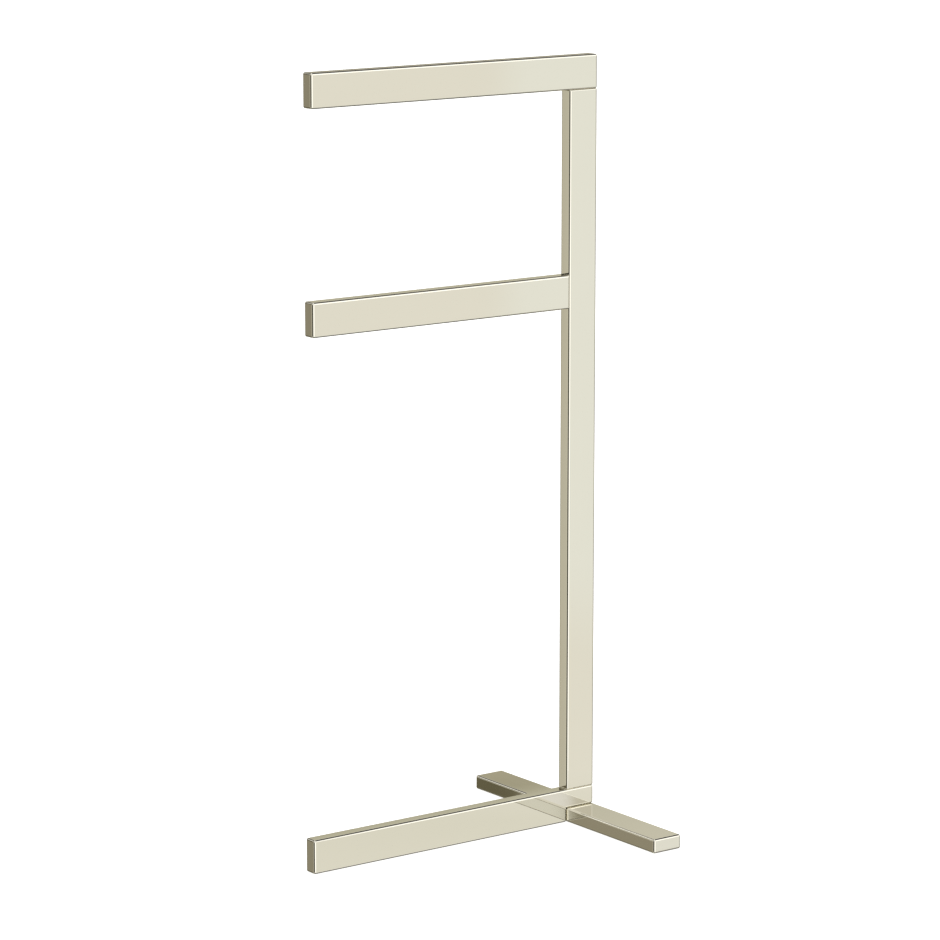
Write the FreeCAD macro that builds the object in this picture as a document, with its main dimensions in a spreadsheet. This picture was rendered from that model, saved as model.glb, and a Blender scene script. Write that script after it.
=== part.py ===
import FreeCAD, Part

import os
import re

import Sketcher

# Free-standing towel stand made of flat rectangular bars, in millimetres.
# +X runs from the arms' free ends to the upright, +Y from front to back, +Z up.
# The origin is on the floor, under the middle of the whole stand.

DOCUMENT = FreeCAD.newDocument("towel_stand")
VECTOR = FreeCAD.Vector

# ---------------------------------------------------------------------------
# Driving dimensions
# ---------------------------------------------------------------------------
DIMENSIONS = (
    # the whole stand
    ("overall_height", 800.0, "floor to the top of the top arm"),
    ("top_arm_length", 350.0, "top arm, end to end"),
    ("middle_arm_reach", 315.0, "middle arm, from the upright to its free end"),
    ("arm_gap", 188.0, "clear height between the two arms"),
    ("long_foot_length", 353.0, "long foot, end to end"),
    ("cross_foot_length", 305.0, "cross foot, front to back"),
    # the bar that every piece of the frame is cut from
    ("bar_width", 35.0, "broad side of the bar"),
    ("bar_thickness", 15.0, "narrow side of the bar"),
    ("edge_radius", 2.0, "rounding of the bars' long edges and of their free ends"),
    ("tube_end_radius", 1.0, "rounding of a tube's end where it meets another bar"),
    ("tube_wall", 2.0, "wall of the hollow bars"),
    ("end_plate_thickness", 3.0, "plates that close the arms"),
    # feet
    ("rebate_clearance", 0.1, "gap between the long foot's rebate and the cross foot's side"),
    ("floor_gap", 0.5, "height of the bars above the floor"),
    ("pad_diameter", 10.0, "rubber floor pads"),
    ("pad_pocket_depth", 2.0, "depth of the pads' pockets"),
    ("pad_pocket_clearance", 0.2, "gap round a pad in its pocket"),
    ("pad_edge_radius", 0.3, "rounding of a pad's lower edge"),
    ("pad_inset", 20.0, "from the end of a foot to the pad's centre"),
    # joint between the feet and the upright
    ("plug_length", 30.0, "threaded block in the upright's lower end"),
    ("base_screw_diameter", 6.0, "screws from beneath"),
    ("base_screw_hole_clearance", 0.6, "added to the screw's diameter in the feet"),
    ("base_screw_inset", 8.5, "from the side of the bar to the screw's axis"),
    ("base_screw_grip", 17.4, "length of thread in the block"),
    ("base_head_diameter", 10.0, "cap screw head"),
    ("base_head_height", 6.0, "cap screw head"),
    ("base_socket_flats", 5.0, "hexagon socket, across flats"),
    ("base_counterbore_clearance", 1.0, "added to the head's diameter"),
    ("base_counterbore_depth", 9.0, "from the cross foot's underside"),
    ("lock_washer_outside", 9.9, "lock washer, outside diameter"),
    ("lock_washer_inside", 6.3, "lock washer, inside diameter"),
    ("lock_washer_thickness", 1.6, "lock washer"),
    ("lock_washer_slit", 0.8, "gap in the lock washer"),
    # joint between the upright and the top arm
    ("slide_gap", 0.15, "gap all round a spigot inside an arm"),
    ("top_spigot_depth", 30.0, "length of the spigot inside the upright"),
    ("top_spigot_headroom", 1.0, "gap above the spigot inside the arm"),
    ("grub_spacing", 16.0, "between the top arm's two grub screws"),
    ("grub_diameter", 5.0, "grub screws"),
    ("grub_socket_flats", 2.5, "hexagon socket, across flats"),
    ("grub_socket_depth", 2.0, "depth of that socket"),
    ("grub_recess", 0.3, "outer end of a grub screw below the arm's back"),
    ("grub_seat_depth", 2.5, "depth of the seat in a spigot"),
    ("grub_seat_clearance", 0.4, "added to the grub screw's diameter in its seat"),
    # joint between the upright and the middle arm
    ("middle_spigot_length", 30.0, "length of the spigot inside the middle arm"),
    ("middle_grub_inset", 12.0, "from the upright to the middle arm's grub screw"),
    ("spigot_screw_diameter", 4.0, "screws through the spigot and the upright's wall"),
    ("spigot_screw_hole_clearance", 0.4, "added to the screw's diameter"),
    ("spigot_screw_inset", 6.5, "from the spigot's upper or lower side to the screw's axis"),
    ("spigot_head_diameter", 7.0, "cap screw head"),
    ("spigot_head_height", 4.0, "cap screw head"),
    ("spigot_socket_flats", 3.0, "hexagon socket, across flats"),
    ("spigot_counterbore_clearance", 0.6, "added to the head's diameter"),
    ("spigot_counterbore_depth", 8.0, "from the spigot's free end"),
    ("nut_plate_thickness", 6.0, "threaded plate inside the upright"),
    ("nut_plate_overhang", 5.0, "from a screw's axis to the plate's end"),
)

SIZES = DOCUMENT.addObject("Spreadsheet::Sheet", "Sizes")
for row, (alias, value, note) in enumerate(DIMENSIONS, start=1):
    SIZES.set(f"A{row}", alias)
    SIZES.set(f"B{row}", str(value))
    SIZES.setAlias(f"B{row}", alias)
    SIZES.set(f"C{row}", note)
DOCUMENT.recompute()
ALIASES = {alias for alias, value, note in DIMENSIONS}

# ---------------------------------------------------------------------------
# Sizes and places that follow from the driving dimensions
# ---------------------------------------------------------------------------
FRAME_RIGHT = "(long_foot_length / 2)"
UPRIGHT_X = "(long_foot_length / 2 - bar_width / 2)"
UPRIGHT_LEFT = "(long_foot_length / 2 - bar_width)"
TOP_ARM_LEFT = "(long_foot_length / 2 - top_arm_length)"
MIDDLE_ARM_LEFT = "(long_foot_length / 2 - bar_width - middle_arm_reach)"
LONG_FOOT_TOP = "(floor_gap + bar_width)"
TOP_ARM_BOTTOM = "(overall_height - bar_width)"
TOP_ARM_Z = "(overall_height - bar_width / 2)"
MIDDLE_ARM_Z = "(overall_height - 3 * bar_width / 2 - arm_gap)"
UPRIGHT_LENGTH = f"({TOP_ARM_BOTTOM} - {LONG_FOOT_TOP})"

CAVITY_WIDTH = "(bar_width - 2 * tube_wall)"
CAVITY_THICKNESS = "(bar_thickness - 2 * tube_wall)"
SPIGOT_WIDTH = f"({CAVITY_WIDTH} - 2 * slide_gap)"
SPIGOT_THICKNESS = f"({CAVITY_THICKNESS} - 2 * slide_gap)"
# the top arm's opening runs from above the upright's left wall to the arm's end plate
TOP_OPENING_WIDTH = "(bar_width - tube_wall - end_plate_thickness)"
TOP_OPENING_SHIFT = "((tube_wall - end_plate_thickness) / 2)"

BASE_SCREW_OFFSET = "(bar_width / 2 - base_screw_inset)"
BASE_SCREW_HOLE = "(base_screw_diameter + base_screw_hole_clearance)"
BASE_WASHER_SEAT_Z = "(floor_gap + base_counterbore_depth)"
BASE_HEAD_SEAT_Z = f"({BASE_WASHER_SEAT_Z} - lock_washer_thickness)"
BASE_SCREW_LENGTH = f"({LONG_FOOT_TOP} + base_screw_grip - {BASE_HEAD_SEAT_Z})"

GRUB_LENGTH = "(tube_wall + slide_gap + grub_seat_depth - grub_recess)"
GRUB_OUTER_Y = "(bar_thickness / 2 - grub_recess)"
SPIGOT_SCREW_OFFSET = f"({SPIGOT_WIDTH} / 2 - spigot_screw_inset)"
SPIGOT_SCREW_HOLE = "(spigot_screw_diameter + spigot_screw_hole_clearance)"
SPIGOT_SCREW_LENGTH = (
    "(middle_spigot_length - spigot_counterbore_depth + tube_wall + nut_plate_thickness)"
)
NUT_PLATE_HEIGHT = f"(2 * {SPIGOT_SCREW_OFFSET} + 2 * nut_plate_overhang)"


def sheet(expression):
    """The expression with each dimension's name turned into its cell on the sheet."""

    def cell(match):
        word = match.group(0)
        return f"Sizes.{word}" if word in ALIASES else word

    return re.sub(r"[a-z_]+", cell, expression)


def number(expression):
    """The expression's present value."""
    return float(SIZES.evalExpression(sheet(expression)))


def bind(item, name, expression):
    item.setExpression(name, sheet(expression))


def place(item, x="0", y="0", z="0", rotation=None):
    """Sets where a sub-part stands in the whole stand."""
    if rotation is not None:
        item.Placement = FreeCAD.Placement(VECTOR(0, 0, 0), rotation)
    bind(item, "Placement.Base.x", x)
    bind(item, "Placement.Base.y", y)
    bind(item, "Placement.Base.z", z)


# ---------------------------------------------------------------------------
# Sketches and features that the bodies share
# ---------------------------------------------------------------------------
SHARED_POINT = "Coincident"
CUTS = []
# an edge runs along an axis when this share of its length does, and lies in a plane within this many mm
ALONG_SHARE = 0.99
IN_PLANE = 1e-4
# the least volume that every cut has to remove, in cubic mm
LEAST_CUT = 0.1


def new_body(label):
    body = DOCUMENT.addObject("PartDesign::Body", label)
    body.Label = label
    return body


def new_sketch(body, name, plane, across="0", up="0", out="0"):
    """An empty sketch on an origin plane, moved by across, up and out in its own axes."""
    sketch = body.newObject("Sketcher::SketchObject", f"{body.Name}_{name}")
    support = next(item for item in body.Origin.OriginFeatures if item.Role == plane)
    sketch.AttachmentSupport = [(support, "")]
    sketch.MapMode = "FlatFace"
    bind(sketch, "AttachmentOffset.Base.x", across)
    bind(sketch, "AttachmentOffset.Base.y", up)
    bind(sketch, "AttachmentOffset.Base.z", out)
    return sketch


def name_constraint(sketch, index, name, expression):
    sketch.renameConstraint(index, name)
    bind(sketch, f"Constraints.{name}", expression)


def draw_rectangle(sketch, width, height):
    """A rectangle centred on the sketch's origin."""
    half_width = number(width) / 2
    half_height = number(height) / 2
    corners = [
        VECTOR(-half_width, -half_height, 0),
        VECTOR(half_width, -half_height, 0),
        VECTOR(half_width, half_height, 0),
        VECTOR(-half_width, half_height, 0),
    ]
    for index, corner in enumerate(corners):
        sketch.addGeometry(Part.LineSegment(corner, corners[(index + 1) % 4]), False)
    for index in range(4):
        sketch.addConstraint(Sketcher.Constraint(SHARED_POINT, index, 2, (index + 1) % 4, 1))
    for index in (0, 2):
        sketch.addConstraint(Sketcher.Constraint("Horizontal", index))
        sketch.addConstraint(Sketcher.Constraint("Vertical", index + 1))
    sketch.addConstraint(Sketcher.Constraint("Symmetric", 0, 1, 2, 1, -1, 1))
    across = sketch.addConstraint(Sketcher.Constraint("DistanceX", 0, 1, 0, 2, 2 * half_width))
    name_constraint(sketch, across, "width", width)
    upward = sketch.addConstraint(Sketcher.Constraint("DistanceY", 1, 1, 1, 2, 2 * half_height))
    name_constraint(sketch, upward, "height", height)


def draw_circle(sketch, diameter):
    """A circle centred on the sketch's origin."""
    size = number(diameter)
    sketch.addGeometry(Part.Circle(VECTOR(0, 0, 0), VECTOR(0, 0, 1), size / 2), False)
    sketch.addConstraint(Sketcher.Constraint(SHARED_POINT, 0, 3, -1, 1))
    index = sketch.addConstraint(Sketcher.Constraint("Diameter", 0, size))
    name_constraint(sketch, index, "diameter", diameter)


def pad(body, sketch, name, length, backward=False):
    """Adds material along the sketch's normal, or against it when backward."""
    feature = body.newObject("PartDesign::Pad", f"{body.Name}_{name}")
    feature.Profile = sketch
    feature.Reversed = backward
    bind(feature, "Length", length)
    body.Tip = feature
    DOCUMENT.recompute()


def pocket(body, sketch, name, depth=None, along_normal=False):
    """Removes material against the sketch's normal, or along it; no depth means right through."""
    before = body.Tip.Shape.Volume
    feature = body.newObject("PartDesign::Pocket", f"{body.Name}_{name}")
    feature.Profile = sketch
    feature.Reversed = along_normal
    if depth is None:
        feature.Type = "ThroughAll"
    else:
        bind(feature, "Length", depth)
    body.Tip = feature
    DOCUMENT.recompute()
    CUTS.append((feature, before))


def round_hole(body, name, plane, diameter, depth, along_normal=True, **offsets):
    """A round hole whose mouth is on a plane parallel to an origin plane."""
    sketch = new_sketch(body, f"{name}_sketch", plane, **offsets)
    draw_circle(sketch, diameter)
    pocket(body, sketch, name, depth, along_normal)


def round_edges(body, name, radius, wanted):
    """Rounds every edge of the body for which wanted(edge) is true."""
    base = body.Tip
    names = [f"Edge{index}" for index, edge in enumerate(base.Shape.Edges, start=1) if wanted(edge)]
    feature = body.newObject("PartDesign::Fillet", f"{body.Name}_{name}")
    feature.Base = (base, names)
    bind(feature, "Radius", radius)
    body.Tip = feature
    DOCUMENT.recompute()


def every_edge(edge):
    return True


def edge_along(axis):
    """A test for edges that run along one axis: 0 is X, 1 is Y, 2 is Z."""

    def wanted(edge):
        ends = [vertex.Point for vertex in edge.Vertexes]
        return len(ends) == 2 and abs((ends[1] - ends[0])[axis]) > edge.Length * ALONG_SHARE

    return wanted


def edge_at(axis, position):
    """A test for edges that lie in one plane square to an axis."""

    def wanted(edge):
        return all(abs(vertex.Point[axis] - position) < IN_PLANE for vertex in edge.Vertexes)

    return wanted


def either(first, second):
    return lambda edge: first(edge) or second(edge)


# ---------------------------------------------------------------------------
# Frame bars
# ---------------------------------------------------------------------------
def make_upright():
    """Vertical tube, both ends open, with two screw holes for the middle spigot."""
    body = new_body("upright")
    outline = new_sketch(body, "outline", "XY_Plane")
    draw_rectangle(outline, "bar_width", "bar_thickness")
    pad(body, outline, "bar", UPRIGHT_LENGTH)
    round_edges(body, "rounding", "edge_radius", edge_along(2))
    ends = either(edge_at(2, 0), edge_at(2, number(UPRIGHT_LENGTH)))
    round_edges(body, "end_rounding", "tube_end_radius", ends)
    bore = new_sketch(body, "bore", "XY_Plane")
    draw_rectangle(bore, CAVITY_WIDTH, CAVITY_THICKNESS)
    pocket(body, bore, "cavity", along_normal=True)
    for name, sign in (("lower", "-"), ("upper", "+")):
        round_hole(
            body,
            f"{name}_screw_hole",
            "YZ_Plane",
            SPIGOT_SCREW_HOLE,
            "tube_wall",
            up=f"{MIDDLE_ARM_Z} - {LONG_FOOT_TOP} {sign} {SPIGOT_SCREW_OFFSET}",
            out="-bar_width / 2",
        )
    place(body, x=UPRIGHT_X, z=LONG_FOOT_TOP)
    return body


def arm_tube(label, length):
    """Bar along X on edge, not yet hollow, with its left end at the origin."""
    body = new_body(label)
    outline = new_sketch(body, "outline", "YZ_Plane")
    draw_rectangle(outline, "bar_thickness", "bar_width")
    pad(body, outline, "bar", length)
    return body


def bore_arm(body):
    bore = new_sketch(body, "bore", "YZ_Plane")
    draw_rectangle(bore, CAVITY_THICKNESS, CAVITY_WIDTH)
    pocket(body, bore, "cavity", along_normal=True)


def arm_grub_hole(body, name, across):
    """Tapped hole through the back wall of an arm."""
    round_hole(
        body, name, "XZ_Plane", "grub_diameter", "tube_wall", across=across, out="-bar_thickness / 2"
    )


def make_top_arm():
    """Tube across the upright's top end, with an opening beneath for the spigot."""
    body = arm_tube("top_arm", "top_arm_length - 2 * end_plate_thickness")
    round_edges(body, "rounding", "edge_radius", edge_along(0))
    bore_arm(body)
    over_upright = "(top_arm_length - end_plate_thickness - bar_width / 2)"
    opening = new_sketch(
        body, "opening", "XY_Plane",
        across=f"{over_upright} + {TOP_OPENING_SHIFT}",
        out="-bar_width / 2",
    )
    draw_rectangle(opening, TOP_OPENING_WIDTH, CAVITY_THICKNESS)
    pocket(body, opening, "spigot_opening", "tube_wall", along_normal=True)
    for name, sign in (("left", "-"), ("right", "+")):
        arm_grub_hole(body, f"{name}_grub_hole", f"{over_upright} {sign} grub_spacing / 2")
    place(body, x=f"{TOP_ARM_LEFT} + end_plate_thickness", z=TOP_ARM_Z)
    return body


def make_middle_arm():
    """Tube that butts on the upright."""
    length = "(middle_arm_reach - end_plate_thickness)"
    body = arm_tube("middle_arm", length)
    round_edges(body, "rounding", "edge_radius", edge_along(0))
    round_edges(body, "end_rounding", "tube_end_radius", edge_at(0, number(length)))
    bore_arm(body)
    arm_grub_hole(body, "grub_hole", f"{length} - middle_grub_inset")
    place(body, x=f"{MIDDLE_ARM_LEFT} + end_plate_thickness", z=MIDDLE_ARM_Z)
    return body


def make_end_plate(label, outer_x, z, faces_right=False):
    """Plate that closes an arm, its outer edges rounded and its inner face on the tube's end."""
    body = new_body(label)
    outline = new_sketch(body, "outline", "YZ_Plane")
    draw_rectangle(outline, "bar_thickness", "bar_width")
    pad(body, outline, "plate", "end_plate_thickness")
    round_edges(body, "rounding", "edge_radius", either(edge_along(0), edge_at(0, 0)))
    half_turn = FreeCAD.Rotation(VECTOR(0, 0, 1), 180)
    place(body, x=outer_x, z=z, rotation=half_turn if faces_right else None)
    return body


def make_long_foot():
    """Solid bar on edge, rebated beneath its right end so that the cross foot passes under it."""
    body = new_body("long_foot")
    outline = new_sketch(body, "outline", "YZ_Plane", up="bar_width / 2")
    draw_rectangle(outline, "bar_thickness", "bar_width")
    pad(body, outline, "bar", "long_foot_length")
    rebate_length = "(bar_width + rebate_clearance)"
    rebate = new_sketch(
        body, "rebate_side", "XZ_Plane",
        across=f"long_foot_length - {rebate_length} / 2",
        up="bar_thickness / 2",
        out="-bar_thickness / 2",
    )
    draw_rectangle(rebate, rebate_length, "bar_thickness")
    pocket(body, rebate, "rebate", along_normal=True)
    inner_x = number(f"long_foot_length - {rebate_length}")
    inner_z = number("bar_thickness")

    def outer_edge(edge):
        return not (edge_at(0, inner_x)(edge) and edge_at(2, inner_z)(edge))

    round_edges(body, "rounding", "edge_radius", outer_edge)
    for name, sign in (("left", "-"), ("right", "+")):
        round_hole(
            body, f"{name}_screw_hole", "XY_Plane", BASE_SCREW_HOLE, None,
            across=f"long_foot_length - bar_width / 2 {sign} {BASE_SCREW_OFFSET}",
        )
    pad_pocket(body, "pad_pocket", across="pad_inset")
    place(body, x="-long_foot_length / 2", z="floor_gap")
    return body


def pad_pocket(body, name, **offsets):
    """Round pocket in the underside of a foot for a floor pad."""
    diameter = "pad_diameter + 2 * pad_pocket_clearance"
    round_hole(body, name, "XY_Plane", diameter, "pad_pocket_depth", **offsets)


def make_cross_foot():
    """Solid bar lying flat, front to back, with counterbored screw holes under the upright."""
    body = new_body("cross_foot")
    outline = new_sketch(body, "outline", "XZ_Plane", up="bar_thickness / 2", out="-cross_foot_length / 2")
    draw_rectangle(outline, "bar_width", "bar_thickness")
    pad(body, outline, "bar", "cross_foot_length")
    round_edges(body, "rounding", "edge_radius", every_edge)
    for name, sign in (("left", "-"), ("right", "+")):
        axis = f"{sign}{BASE_SCREW_OFFSET}"
        counterbore = "base_head_diameter + base_counterbore_clearance"
        round_hole(
            body, f"{name}_counterbore", "XY_Plane", counterbore, "base_counterbore_depth", across=axis
        )
        round_hole(body, f"{name}_screw_hole", "XY_Plane", BASE_SCREW_HOLE, None, across=axis)
    for name, sign in (("front", "-"), ("back", "+")):
        pad_pocket(body, f"{name}_pad_pocket", up=f"{sign}(cross_foot_length / 2 - pad_inset)")
    place(body, x=UPRIGHT_X, z="floor_gap")
    return body


# ---------------------------------------------------------------------------
# Blocks inside the joints
# ---------------------------------------------------------------------------
def make_base_plug():
    """Block brazed into the upright's lower end, tapped for the base screws."""
    body = new_body("base_plug")
    outline = new_sketch(body, "outline", "XY_Plane")
    draw_rectangle(outline, CAVITY_WIDTH, CAVITY_THICKNESS)
    pad(body, outline, "block", "plug_length")
    for name, sign in (("left", "-"), ("right", "+")):
        round_hole(
            body, f"{name}_thread", "XY_Plane", "base_screw_diameter", None,
            across=f"{sign}{BASE_SCREW_OFFSET}",
        )
    place(body, x=UPRIGHT_X, z=LONG_FOOT_TOP)
    return body


def make_top_spigot():
    """Block brazed into the upright's top end; its upper part fits loosely inside the top arm."""
    body = new_body("top_spigot")
    lower = new_sketch(body, "lower_outline", "XY_Plane")
    draw_rectangle(lower, CAVITY_WIDTH, CAVITY_THICKNESS)
    pad(body, lower, "lower_block", "top_spigot_depth", backward=True)
    upper = new_sketch(body, "upper_outline", "XY_Plane", across=TOP_OPENING_SHIFT)
    draw_rectangle(upper, f"{TOP_OPENING_WIDTH} - 2 * slide_gap", SPIGOT_THICKNESS)
    pad(body, upper, "upper_block", "bar_width - tube_wall - top_spigot_headroom")
    for name, sign in (("left", "-"), ("right", "+")):
        grub_seat(body, f"{name}_seat", across=f"{sign}grub_spacing / 2", up="bar_width / 2")
    place(body, x=UPRIGHT_X, z=TOP_ARM_BOTTOM)
    return body


def grub_seat(body, name, **offsets):
    """Round seat in the back of a spigot for the tip of a grub screw."""
    diameter = "grub_diameter + grub_seat_clearance"
    out = f"-{SPIGOT_THICKNESS} / 2"
    round_hole(body, name, "XZ_Plane", diameter, "grub_seat_depth", out=out, **offsets)


def make_middle_spigot():
    """Block on the upright's side that the middle arm slides over."""
    body = new_body("middle_spigot")
    outline = new_sketch(body, "outline", "YZ_Plane")
    draw_rectangle(outline, SPIGOT_THICKNESS, SPIGOT_WIDTH)
    pad(body, outline, "block", "middle_spigot_length", backward=True)
    for name, sign in (("lower", "-"), ("upper", "+")):
        axis = f"{sign}{SPIGOT_SCREW_OFFSET}"
        free_end = "-middle_spigot_length"
        counterbore = "spigot_head_diameter + spigot_counterbore_clearance"
        round_hole(
            body, f"{name}_counterbore", "YZ_Plane", counterbore, "spigot_counterbore_depth",
            up=axis, out=free_end,
        )
        round_hole(body, f"{name}_screw_hole", "YZ_Plane", SPIGOT_SCREW_HOLE, None, up=axis, out=free_end)
    grub_seat(body, "seat", across="-middle_grub_inset")
    place(body, x=UPRIGHT_LEFT, z=MIDDLE_ARM_Z)
    return body


def make_nut_plate():
    """Threaded plate on the inside of the upright's left wall."""
    body = new_body("nut_plate")
    outline = new_sketch(body, "outline", "YZ_Plane")
    draw_rectangle(outline, CAVITY_THICKNESS, NUT_PLATE_HEIGHT)
    pad(body, outline, "plate", "nut_plate_thickness")
    for name, sign in (("lower", "-"), ("upper", "+")):
        round_hole(
            body, f"{name}_thread", "YZ_Plane", "spigot_screw_diameter", None,
            up=f"{sign}{SPIGOT_SCREW_OFFSET}",
        )
    place(body, x=f"{UPRIGHT_LEFT} + tube_wall", z=MIDDLE_ARM_Z)
    return body


# ---------------------------------------------------------------------------
# Screws and washers
# ---------------------------------------------------------------------------
def cylinder(name, diameter, height, bottom="0"):
    item = DOCUMENT.addObject("Part::Cylinder", name)
    bind(item, "Radius", f"({diameter}) / 2")
    bind(item, "Height", height)
    bind(item, "Placement.Base.z", bottom)
    return item


def hexagon_socket(name, flats, depth, bottom):
    """Six-sided prism that leaves a socket when it is cut away."""
    item = DOCUMENT.addObject("Part::Prism", name)
    item.Polygon = 6
    bind(item, "Circumradius", f"{flats} / sqrt(3)")
    bind(item, "Height", depth)
    bind(item, "Placement.Base.z", bottom)
    return item


def cap_screw(name, size, length):
    """Cap screw along +Z whose head bears at z = 0; size is the prefix of its dimensions."""
    head = cylinder(f"{name}_head", f"{size}_head_diameter", f"{size}_head_height", f"-{size}_head_height")
    shank = cylinder(f"{name}_shank", f"{size}_screw_diameter", length)
    blank = DOCUMENT.addObject("Part::Fuse", f"{name}_blank")
    blank.Base = head
    blank.Tool = shank
    socket = hexagon_socket(
        f"{name}_socket", f"{size}_socket_flats", f"{size}_head_height / 2", f"-{size}_head_height"
    )
    screw = DOCUMENT.addObject("Part::Cut", name)
    screw.Base = blank
    screw.Tool = socket
    return screw


def grub_screw(name):
    """Headless screw along +Z whose socket is at z = 0."""
    shank = cylinder(f"{name}_shank", "grub_diameter", GRUB_LENGTH)
    socket = hexagon_socket(f"{name}_socket", "grub_socket_flats", "grub_socket_depth", "0")
    screw = DOCUMENT.addObject("Part::Cut", name)
    screw.Base = shank
    screw.Tool = socket
    return screw


def lock_washer(name):
    """Flat ring with one slit, standing on z = 0."""
    ring = DOCUMENT.addObject("Part::Cut", f"{name}_ring")
    ring.Base = cylinder(f"{name}_outside", "lock_washer_outside", "lock_washer_thickness")
    ring.Tool = cylinder(f"{name}_inside", "lock_washer_inside", "lock_washer_thickness")
    slit = DOCUMENT.addObject("Part::Box", f"{name}_slit")
    bind(slit, "Length", "lock_washer_outside")
    bind(slit, "Width", "lock_washer_slit")
    bind(slit, "Height", "lock_washer_thickness")
    bind(slit, "Placement.Base.y", "-lock_washer_slit / 2")
    washer = DOCUMENT.addObject("Part::Cut", name)
    washer.Base = ring
    washer.Tool = slit
    return washer


def group(label, members):
    """One sub-part made of identical separate pieces."""
    item = DOCUMENT.addObject("Part::Compound", label)
    item.Label = label
    item.Links = members
    return item


def make_base_screws():
    screws = []
    for name, sign in (("left", "-"), ("right", "+")):
        screw = cap_screw(f"base_screw_{name}", "base", BASE_SCREW_LENGTH)
        place(screw, x=f"{UPRIGHT_X} {sign} {BASE_SCREW_OFFSET}", z=BASE_HEAD_SEAT_Z)
        screws.append(screw)
    return group("base_screws", screws)


def make_base_lock_washers():
    washers = []
    for name, sign in (("left", "-"), ("right", "+")):
        washer = lock_washer(f"base_lock_washer_{name}")
        place(washer, x=f"{UPRIGHT_X} {sign} {BASE_SCREW_OFFSET}", z=BASE_HEAD_SEAT_Z)
        washers.append(washer)
    return group("base_lock_washers", washers)


def make_spigot_screws():
    """Screws that run from the middle spigot towards +X into the nut plate."""
    towards_right = FreeCAD.Rotation(VECTOR(0, 1, 0), 90)
    screws = []
    for name, sign in (("lower", "-"), ("upper", "+")):
        screw = cap_screw(f"spigot_screw_{name}", "spigot", SPIGOT_SCREW_LENGTH)
        place(
            screw,
            x=f"{UPRIGHT_LEFT} - middle_spigot_length + spigot_counterbore_depth",
            z=f"{MIDDLE_ARM_Z} {sign} {SPIGOT_SCREW_OFFSET}",
            rotation=towards_right,
        )
        screws.append(screw)
    return group("spigot_screws", screws)


def make_grub_screws(label, places):
    """Grub screws that run from an arm's back towards the front; places are (x, z) pairs."""
    towards_front = FreeCAD.Rotation(VECTOR(1, 0, 0), 90)
    screws = []
    for index, (x, z) in enumerate(places, start=1):
        screw = grub_screw(f"{label}_{index}")
        place(screw, x=x, y=GRUB_OUTER_Y, z=z, rotation=towards_front)
        screws.append(screw)
    return group(label, screws)


# ---------------------------------------------------------------------------
# Floor pads
# ---------------------------------------------------------------------------
def make_floor_pad(label, x, y):
    """Round rubber pad from the floor to the top of its pocket."""
    body = new_body(label)
    outline = new_sketch(body, "outline", "XY_Plane")
    draw_circle(outline, "pad_diameter")
    pad(body, outline, "disc", "floor_gap + pad_pocket_depth")
    round_edges(body, "rounding", "pad_edge_radius", edge_at(2, 0))
    place(body, x=x, y=y)
    return body


# ---------------------------------------------------------------------------
# The whole stand
# ---------------------------------------------------------------------------
PARTS = [
    make_upright(),
    make_top_arm(),
    make_end_plate("top_arm_free_end_plate", TOP_ARM_LEFT, TOP_ARM_Z),
    make_end_plate("top_arm_upright_end_plate", FRAME_RIGHT, TOP_ARM_Z, faces_right=True),
    make_middle_arm(),
    make_end_plate("middle_arm_end_plate", MIDDLE_ARM_LEFT, MIDDLE_ARM_Z),
    make_long_foot(),
    make_cross_foot(),
    make_base_plug(),
    make_base_screws(),
    make_base_lock_washers(),
    make_top_spigot(),
    make_grub_screws(
        "top_arm_grub_screws",
        [(f"{UPRIGHT_X} {sign} grub_spacing / 2", TOP_ARM_Z) for sign in ("-", "+")],
    ),
    make_middle_spigot(),
    make_spigot_screws(),
    make_nut_plate(),
    make_grub_screws(
        "middle_arm_grub_screw", [(f"{UPRIGHT_LEFT} - middle_grub_inset", MIDDLE_ARM_Z)]
    ),
    make_floor_pad("long_foot_pad", "pad_inset - long_foot_length / 2", "0"),
    make_floor_pad("cross_foot_front_pad", UPRIGHT_X, "pad_inset - cross_foot_length / 2"),
    make_floor_pad("cross_foot_back_pad", UPRIGHT_X, "cross_foot_length / 2 - pad_inset"),
]
DOCUMENT.recompute()

# ---------------------------------------------------------------------------
# Checks and export
# ---------------------------------------------------------------------------
for item in DOCUMENT.Objects:
    if "Invalid" in item.State or "Error" in item.State:
        raise RuntimeError(f"{item.Label} failed: {item.State}")
for feature, before in CUTS:
    if feature.Shape.Volume > before - LEAST_CUT:
        raise RuntimeError(f"{feature.Label} cuts nothing")
for item in PARTS:
    if item.Shape.isNull() or not item.Shape.isValid() or not item.Shape.Solids:
        raise RuntimeError(f"{item.Label} has no valid solid")

os.makedirs("parts", exist_ok=True)
for item in PARTS:
    item.Shape.exportStep(os.path.join("parts", f"{item.Label}.step"))
    box = item.Shape.BoundBox
    print(
        f"{item.Label:28s} solids {len(item.Shape.Solids)}  volume {item.Shape.Volume:10.1f}"
        f"  x {box.XMin:8.2f} {box.XMax:8.2f}  y {box.YMin:8.2f} {box.YMax:8.2f}"
        f"  z {box.ZMin:8.2f} {box.ZMax:8.2f}"
    )
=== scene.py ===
import math

import bpy
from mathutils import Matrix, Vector


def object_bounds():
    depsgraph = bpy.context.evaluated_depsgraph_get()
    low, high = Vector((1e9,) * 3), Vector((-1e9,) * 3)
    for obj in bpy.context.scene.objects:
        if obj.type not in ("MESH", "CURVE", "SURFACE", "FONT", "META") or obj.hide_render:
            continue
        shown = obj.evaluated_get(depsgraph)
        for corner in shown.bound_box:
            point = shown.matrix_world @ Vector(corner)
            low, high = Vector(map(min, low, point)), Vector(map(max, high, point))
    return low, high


# The looks of a free-standing towel stand of polished flat bar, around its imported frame.
# Everything is in metres: +X from the arms' free ends to the upright, +Y to the back, +Z up.

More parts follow.
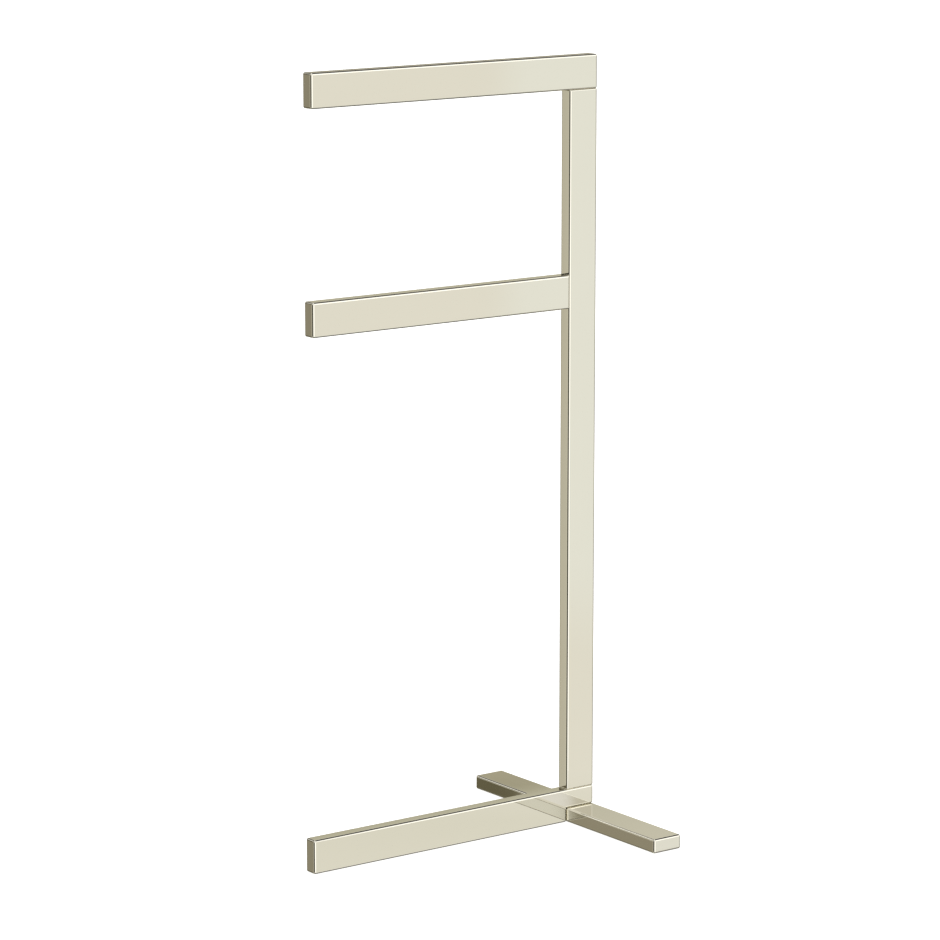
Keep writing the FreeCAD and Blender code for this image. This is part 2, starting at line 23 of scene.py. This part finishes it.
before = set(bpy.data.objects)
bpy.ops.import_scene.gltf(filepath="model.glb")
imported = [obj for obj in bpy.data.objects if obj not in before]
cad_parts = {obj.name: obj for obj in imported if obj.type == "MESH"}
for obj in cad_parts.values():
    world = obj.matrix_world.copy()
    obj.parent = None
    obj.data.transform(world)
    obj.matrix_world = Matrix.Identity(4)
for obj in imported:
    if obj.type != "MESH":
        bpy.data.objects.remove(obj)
CAD_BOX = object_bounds()

# ---------------------------------------------------------------------------
# Camera
# ---------------------------------------------------------------------------
CAMERA_AZIMUTH = math.radians(36.37)
CAMERA_PITCH = math.radians(11.14)
CAMERA_DISTANCE = 4.02
CAMERA_LENS = 152.5
AIM_BESIDE_CENTRE = Vector((0.0216, 0.0, -0.012))


def make_camera():
    low, high = Vector(CAD_BOX[0]), Vector(CAD_BOX[1])
    aim = (low + high) / 2 + AIM_BESIDE_CENTRE
    forward = Vector(
        (
            math.sin(CAMERA_AZIMUTH) * math.cos(CAMERA_PITCH),
            math.cos(CAMERA_AZIMUTH) * math.cos(CAMERA_PITCH),
            -math.sin(CAMERA_PITCH),
        )
    )
    data = bpy.data.cameras.new("camera")
    data.lens = CAMERA_LENS
    data.sensor_width = 36.0
    data.clip_end = 200.0
    camera = bpy.data.objects.new("camera", data)
    camera.location = aim - forward * CAMERA_DISTANCE
    camera.rotation_euler = forward.to_track_quat("-Z", "Y").to_euler()
    bpy.context.scene.collection.objects.link(camera)
    bpy.context.scene.camera = camera


# ---------------------------------------------------------------------------
# Node helpers
# ---------------------------------------------------------------------------
def new_node(tree, kind, **settings):
    node = tree.nodes.new(kind)
    for name, value in settings.items():
        setattr(node, name, value)
    return node


def feed(tree, socket, value):
    """Links an output into the socket, or sets the socket to a plain value."""
    if isinstance(value, bpy.types.NodeSocket):
        tree.links.new(value, socket)
    else:
        socket.default_value = value


def maths(tree, operation, first, second=0.0):
    node = new_node(tree, "ShaderNodeMath", operation=operation)
    feed(tree, node.inputs[0], first)
    feed(tree, node.inputs[1], second)
    return node.outputs[0]


def remap(tree, value, from_low, from_high, to_low=0.0, to_high=1.0, smooth=False):
    node = new_node(tree, "ShaderNodeMapRange")
    node.interpolation_type = "SMOOTHSTEP" if smooth else "LINEAR"
    feed(tree, node.inputs["Value"], value)
    for name, number in (
        ("From Min", from_low),
        ("From Max", from_high),
        ("To Min", to_low),
        ("To Max", to_high),
    ):
        node.inputs[name].default_value = number
    return node.outputs["Result"]


def mix_colours(tree, factor, first, second):
    node = new_node(tree, "ShaderNodeMix", data_type="RGBA")
    feed(tree, node.inputs["Factor"], factor)
    feed(tree, node.inputs["A"], rgba(first))
    feed(tree, node.inputs["B"], rgba(second))
    return node.outputs["Result"]


def rgba(colour):
    if isinstance(colour, bpy.types.NodeSocket):
        return colour
    return (*colour, 1.0)


def ramp(tree, value, stops):
    """Colours along a line: stops are (place, colour) pairs in rising order."""
    low, high = stops[0][0], stops[-1][0]
    node = new_node(tree, "ShaderNodeValToRGB")
    feed(tree, node.inputs["Fac"], remap(tree, value, low, high))
    elements = node.color_ramp.elements
    while len(elements) < len(stops):
        elements.new(0.5)
    for element, (place, colour) in zip(elements, stops):
        element.position = (place - low) / (high - low)
        element.color = rgba(colour)
    return node.outputs["Color"]


# ---------------------------------------------------------------------------
# Studio
# ---------------------------------------------------------------------------
WHITE = (1.0, 1.0, 1.0)
BLACK = (0.03, 0.028, 0.02)
FRONT_COOL = (0.95, 0.961, 0.921)
FRONT_COOL_LOW = (0.912, 0.914, 0.871)
FRONT_WARM = (0.921, 0.905, 0.844)
FRONT_LOW = (0.85, 0.84, 0.761)
LEFT_GAP = (0.142, 0.129, 0.079)
LEFT_EDGE = (0.308, 0.284, 0.215)
LEFT_SHADOW = (0.10, 0.09, 0.06)


def grey(level, warmth=0.0):
    """A grey of the given brightness; the warmer, the less blue it has."""
    return (level, level * (1.0 - 0.25 * warmth), level * (1.0 - warmth))


# Each wall is a list of stops, (angle in degrees, colour), and each panel of light on it is
# (azimuths, elevations, softness of its edges both ways, colour), laid over the panels before it.
# Azimuths count towards +X, from -Y for the front wall's panels and from +Y for all the others.
# The sharp steps part the tones of faces that look the same way, which mirror nearly the same spot.

# the front wall, by elevation
FRONT_WALL = [
    (-90.0, grey(0.25)), (-38.0, grey(0.12, 0.1)), (-31.0, grey(1.1, 0.04)), (-18.0, FRONT_WARM),
    (-16.1, FRONT_LOW), (-15.8, FRONT_WARM), (-2.0, FRONT_WARM), (10.0, WHITE), (90.0, WHITE),
]
FRONT_PANELS = [
    ((36.9, 62.0), (-13.2, 0.0), (0.35, 0.8), FRONT_COOL),
    ((38.7, 62.0), (-18.0, -13.0), (0.3, 0.5), FRONT_COOL_LOW),
    ((41.5, 200.0), (-30.0, 2.0), (0.6, 3.0), grey(0.3, 0.15)),
    ((-27.0, 22.0), (-24.0, -3.0), (1.0, 2.0), grey(1.5, 0.02)),
    ((-46.0, -33.0), (-18.5, -14.0), (1.0, 0.5), (0.95, 0.968, 0.972)),
    ((-46.0, -37.87), (-20.0, -14.0), (0.04, 1.0), (0.34, 0.32, 0.24)),
    ((33.0, 41.0), (-2.5, 12.5), (1.0, 1.0), grey(1.8, 0.02)),
    ((33.0, 41.0), (13.5, 18.5), (1.0, 0.6), (1.03, 1.04, 1.1)),
    ((37.88, 41.0), (14.0, 18.0), (0.04, 0.6), grey(0.74, 0.1)),
    ((35.0, 47.0), (19.5, 34.0), (1.5, 1.5), grey(1.7, 0.02)),
    ((43.0, 110.0), (39.0, 64.0), (2.0, 3.0), grey(0.06)),
]
# the upper wall at the back, by elevation; its tones sink by this much for each degree of azimuth
BACK_LEAN = 0.1925
BACK_LEAN_FROM = 38.0
BACK_HIGH_WALL = [
    (0.0, grey(0.22, 0.3)), (5.2, grey(0.38, 0.28)), (8.5, (0.545, 0.52, 0.40)), (13.0, (0.50, 0.48, 0.37)),
    (15.24, (0.448, 0.417, 0.309)), (15.57, (0.39, 0.365, 0.265)), (15.64, (0.613, 0.599, 0.471)),
    (15.95, (0.606, 0.584, 0.483)), (16.63, (0.657, 0.635, 0.531)), (18.0, (0.66, 0.64, 0.54)),
    (30.0, (0.8, 0.79, 0.75)),
]
BACK_HIGH_PANELS = [
    ((-200.0, -14.0), (-5.0, 18.5), (2.0, 1.0), BLACK),
    ((-200.0, -14.0), (13.5, 18.5), (2.0, 1.0), grey(0.15, 0.4)),
    ((-41.0, -25.0), (19.5, 38.0), (1.5, 1.5), grey(1.4, 0.05)),
    ((-22.0, 29.0), (27.0, 46.0), (2.0, 3.0), grey(0.13, 0.1)),
    ((-110.0, -44.0), (35.0, 62.0), (2.0, 2.0), grey(0.06)),
    ((43.0, 110.0), (35.0, 64.0), (2.0, 2.0), grey(0.05)),
]
# the lower wall at the back, by azimuth: a light panel on the left, then a dark gap
BACK_LOW_WALL = [
    (-60.0, (0.82, 0.80, 0.70)), (-42.0, (0.80, 0.78, 0.68)), (-38.3, (0.70, 0.675, 0.575)),
    (-37.8, (0.64, 0.615, 0.515)), (-37.71, (0.56, 0.535, 0.44)), (-37.45, (0.50, 0.475, 0.385)),
    (-37.35, LEFT_GAP), (-36.2, LEFT_GAP), (-35.2, LEFT_EDGE), (-33.2, LEFT_EDGE), (-31.0, LEFT_SHADOW),
    (-14.0, LEFT_SHADOW), (-6.0, (0.5, 0.49, 0.45)), (60.0, (0.6, 0.6, 0.56)),
]
BACK_LOW_PANELS = [
    ((-46.0, -37.4), (-24.0, -15.88), (0.03, 0.04), (0.32, 0.293, 0.219)),
    ((18.0, 110.0), (-90.0, -28.0), (4.0, 4.0), grey(0.2, 0.1)),
]
# a dark flag along the left side, paler at its front edge and in its middle
LEFT_FLAG = [
    ((-141.5, -126.0), (-30.0, -2.0), (1.0, 2.0), grey(0.24, 0.2)),
    ((-128.0, -62.0), (-24.0, -2.0), (1.5, 2.0), grey(0.03, 0.2)),
    ((-98.0, -82.0), (-24.0, -2.0), (1.5, 2.0), grey(0.15, 0.2)),
]
# a soft light above, which fades in between these elevations
OVERHEAD_LIGHT = grey(0.9, 0.03)
OVERHEAD_FADE = (68.0, 76.0)
# the upper and lower walls blend within this many degrees of the horizon, and the front and back
# walls where the y part of the direction is below SIDE_BLEND
HORIZON_BLEND = 1.5
SIDE_BLEND = 0.02


def lay(tree, wall, across, up, panels):
    """Lays soft-edged panels of light over the wall."""
    for azimuths, elevations, softness, colour in panels:
        mask = 1.0
        for value, (low, high), soft in ((across, azimuths, softness[0]), (up, elevations, softness[1])):
            rise = remap(tree, value, low - soft, low + soft, smooth=True)
            fall = remap(tree, value, high - soft, high + soft, 1.0, 0.0, smooth=True)
            mask = maths(tree, "MULTIPLY", mask, maths(tree, "MULTIPLY", rise, fall))
        wall = mix_colours(tree, mask, wall, colour)
    return wall


def make_world():
    """Studio light without lamps: a world painted by the direction that a mirrored ray leaves in."""
    world = bpy.data.worlds.new("studio")
    world.use_nodes = True
    tree = world.node_tree
    tree.nodes.clear()
    direction = new_node(tree, "ShaderNodeTexCoord").outputs["Generated"]
    split = new_node(tree, "ShaderNodeSeparateXYZ")
    feed(tree, split.inputs[0], direction)
    x, y, z = split.outputs
    to_degrees = 180.0 / math.pi
    up = maths(tree, "MULTIPLY", maths(tree, "ARCSINE", z), to_degrees)
    from_back = maths(tree, "MULTIPLY", maths(tree, "ARCTAN2", x, y), to_degrees)
    backward = maths(tree, "MULTIPLY", y, -1.0)
    from_front = maths(tree, "MULTIPLY", maths(tree, "ARCTAN2", x, backward), to_degrees)

    low = lay(tree, ramp(tree, from_back, BACK_LOW_WALL), from_back, up, BACK_LOW_PANELS)
    lean = maths(tree, "MULTIPLY", maths(tree, "SUBTRACT", from_back, BACK_LEAN_FROM), BACK_LEAN)
    leaning = maths(tree, "ADD", up, lean)
    high = lay(tree, ramp(tree, leaning, BACK_HIGH_WALL), from_back, up, BACK_HIGH_PANELS)
    above = remap(tree, up, -HORIZON_BLEND, HORIZON_BLEND, smooth=True)
    back = mix_colours(tree, above, low, high)
    front = lay(tree, ramp(tree, up, FRONT_WALL), from_front, up, FRONT_PANELS)
    behind = remap(tree, y, -SIDE_BLEND, SIDE_BLEND, smooth=True)
    colour = mix_colours(tree, behind, front, back)
    colour = lay(tree, colour, from_back, up, LEFT_FLAG)
    overhead = remap(tree, up, *OVERHEAD_FADE, smooth=True)
    colour = mix_colours(tree, overhead, colour, OVERHEAD_LIGHT)

    background = new_node(tree, "ShaderNodeBackground")
    feed(tree, background.inputs["Color"], colour)
    output = new_node(tree, "ShaderNodeOutputWorld")
    tree.links.new(background.outputs[0], output.inputs[0])
    bpy.context.scene.world = world
    bpy.context.scene.view_settings.view_transform = "Standard"


FLOOR_HALF_SIZE = 30.0


def make_floor():
    """Pale, plain floor that the stand's polished sides don't mirror."""
    low = Vector(CAD_BOX[0])
    half = FLOOR_HALF_SIZE
    corners = [(-half, -half), (half, -half), (half, half), (-half, half)]
    mesh = bpy.data.meshes.new("floor")
    mesh.from_pydata([(x, y, low.z) for x, y in corners], [], [(0, 1, 2, 3)])
    floor = bpy.data.objects.new("floor", mesh)
    bpy.context.scene.collection.objects.link(floor)
    floor.visible_glossy = False
    material = bpy.data.materials.new("floor")
    material.use_nodes = True
    shader = material.node_tree.nodes["Principled BSDF"]
    shader.inputs["Base Color"].default_value = (0.9, 0.9, 0.9, 1.0)
    shader.inputs["Roughness"].default_value = 0.9
    shader.inputs["Specular IOR Level"].default_value = 0.1
    shader.inputs["Emission Color"].default_value = (1.0, 1.0, 1.0, 1.0)
    shader.inputs["Emission Strength"].default_value = 0.8
    floor.data.materials.append(material)


# ---------------------------------------------------------------------------
# Materials
# ---------------------------------------------------------------------------
NICKEL_DEEP = (0.79, 0.765, 0.675)
NICKEL_PALE = (0.81, 0.785, 0.695)
BLOCK_STEEL = (0.56, 0.55, 0.53)
SCREW_STEEL = (0.45, 0.45, 0.44)
RUBBER_DEEP = (0.025, 0.025, 0.026)
RUBBER_PALE = (0.05, 0.05, 0.05)


def new_material(name):
    material = bpy.data.materials.new(name)
    material.use_nodes = True
    return material, material.node_tree, material.node_tree.nodes["Principled BSDF"]


def noise(tree, scale, detail, stretch=(1.0, 1.0, 1.0)):
    """Noise over the stand's own coordinates, finer along the axes with a larger stretch."""
    place = new_node(tree, "ShaderNodeTexCoord").outputs["Object"]
    mapping = new_node(tree, "ShaderNodeMapping")
    mapping.inputs["Scale"].default_value = stretch
    tree.links.new(place, mapping.inputs["Vector"])
    node = new_node(tree, "ShaderNodeTexNoise")
    node.inputs["Scale"].default_value = scale
    node.inputs["Detail"].default_value = detail
    tree.links.new(mapping.outputs[0], node.inputs["Vector"])
    return node.outputs["Fac"]


def bump(tree, height, distance):
    node = new_node(tree, "ShaderNodeBump")
    node.inputs["Distance"].default_value = distance
    tree.links.new(height, node.inputs["Height"])
    return node.outputs["Normal"]


def polished_metal(name, stretch):
    """Mirror-polished nickel plate; stretch sets the direction of its faint polishing lines."""
    material, tree, shader = new_material(name)
    shader.inputs["Metallic"].default_value = 1.0
    cloud = noise(tree, scale=9.0, detail=3.0)
    feed(tree, shader.inputs["Base Color"], mix_colours(tree, cloud, NICKEL_DEEP, NICKEL_PALE))
    haze = noise(tree, scale=45.0, detail=4.0)
    lines = noise(tree, scale=220.0, detail=2.0, stretch=stretch)
    cloudy = remap(tree, haze, 0.3, 0.7, to_low=0.018, to_high=0.026)
    lined = remap(tree, lines, 0.3, 0.7, to_low=0.0, to_high=0.006)
    feed(tree, shader.inputs["Roughness"], maths(tree, "ADD", cloudy, lined))
    feed(tree, shader.inputs["Normal"], bump(tree, lines, distance=4e-7))
    return material


def plain_steel(name, colour, stretch):
    """Machined steel with fine tool marks."""
    material, tree, shader = new_material(name)
    shader.inputs["Metallic"].default_value = 1.0
    marks = noise(tree, scale=400.0, detail=3.0, stretch=stretch)
    darker = tuple(0.8 * channel for channel in colour)
    feed(tree, shader.inputs["Base Color"], mix_colours(tree, marks, darker, colour))
    feed(tree, shader.inputs["Roughness"], remap(tree, marks, 0.2, 0.8, to_low=0.25, to_high=0.42))
    feed(tree, shader.inputs["Normal"], bump(tree, marks, distance=1.5e-5))
    return material


def pad_rubber():
    material, tree, shader = new_material("pad_rubber")
    grain = noise(tree, scale=900.0, detail=4.0)
    feed(tree, shader.inputs["Base Color"], mix_colours(tree, grain, RUBBER_DEEP, RUBBER_PALE))
    feed(tree, shader.inputs["Roughness"], remap(tree, grain, 0.2, 0.8, to_low=0.62, to_high=0.82))
    feed(tree, shader.inputs["Normal"], bump(tree, grain, distance=3e-5))
    return material


def paint(nodes, material):
    for name in nodes:
        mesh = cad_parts[name].data
        mesh.materials.clear()
        mesh.materials.append(material)


def finish_frame():
    along_x = (0.02, 1.0, 1.0)
    along_y = (1.0, 0.02, 1.0)
    along_z = (1.0, 1.0, 0.02)
    paint(["upright"], polished_metal("polished_metal_upright", along_z))
    paint(["cross_foot"], polished_metal("polished_metal_cross_foot", along_y))
    paint(
        ["top_arm", "top_arm_free_end_plate", "top_arm_upright_end_plate", "middle_arm",
         "middle_arm_end_plate", "long_foot"],
        polished_metal("polished_metal_arms", along_x),
    )
    paint(
        ["base_plug", "top_spigot", "middle_spigot", "nut_plate"],
        plain_steel("plain_steel", BLOCK_STEEL, (1.0, 1.0, 0.1)),
    )
    paint(
        ["base_screws", "base_lock_washers", "top_arm_grub_screws", "spigot_screws", "middle_arm_grub_screw"],
        plain_steel("screw_steel", SCREW_STEEL, (1.0, 1.0, 1.0)),
    )
    paint(["long_foot_pad", "cross_foot_front_pad", "cross_foot_back_pad"], pad_rubber())


make_camera()
make_world()
make_floor()
finish_frame()
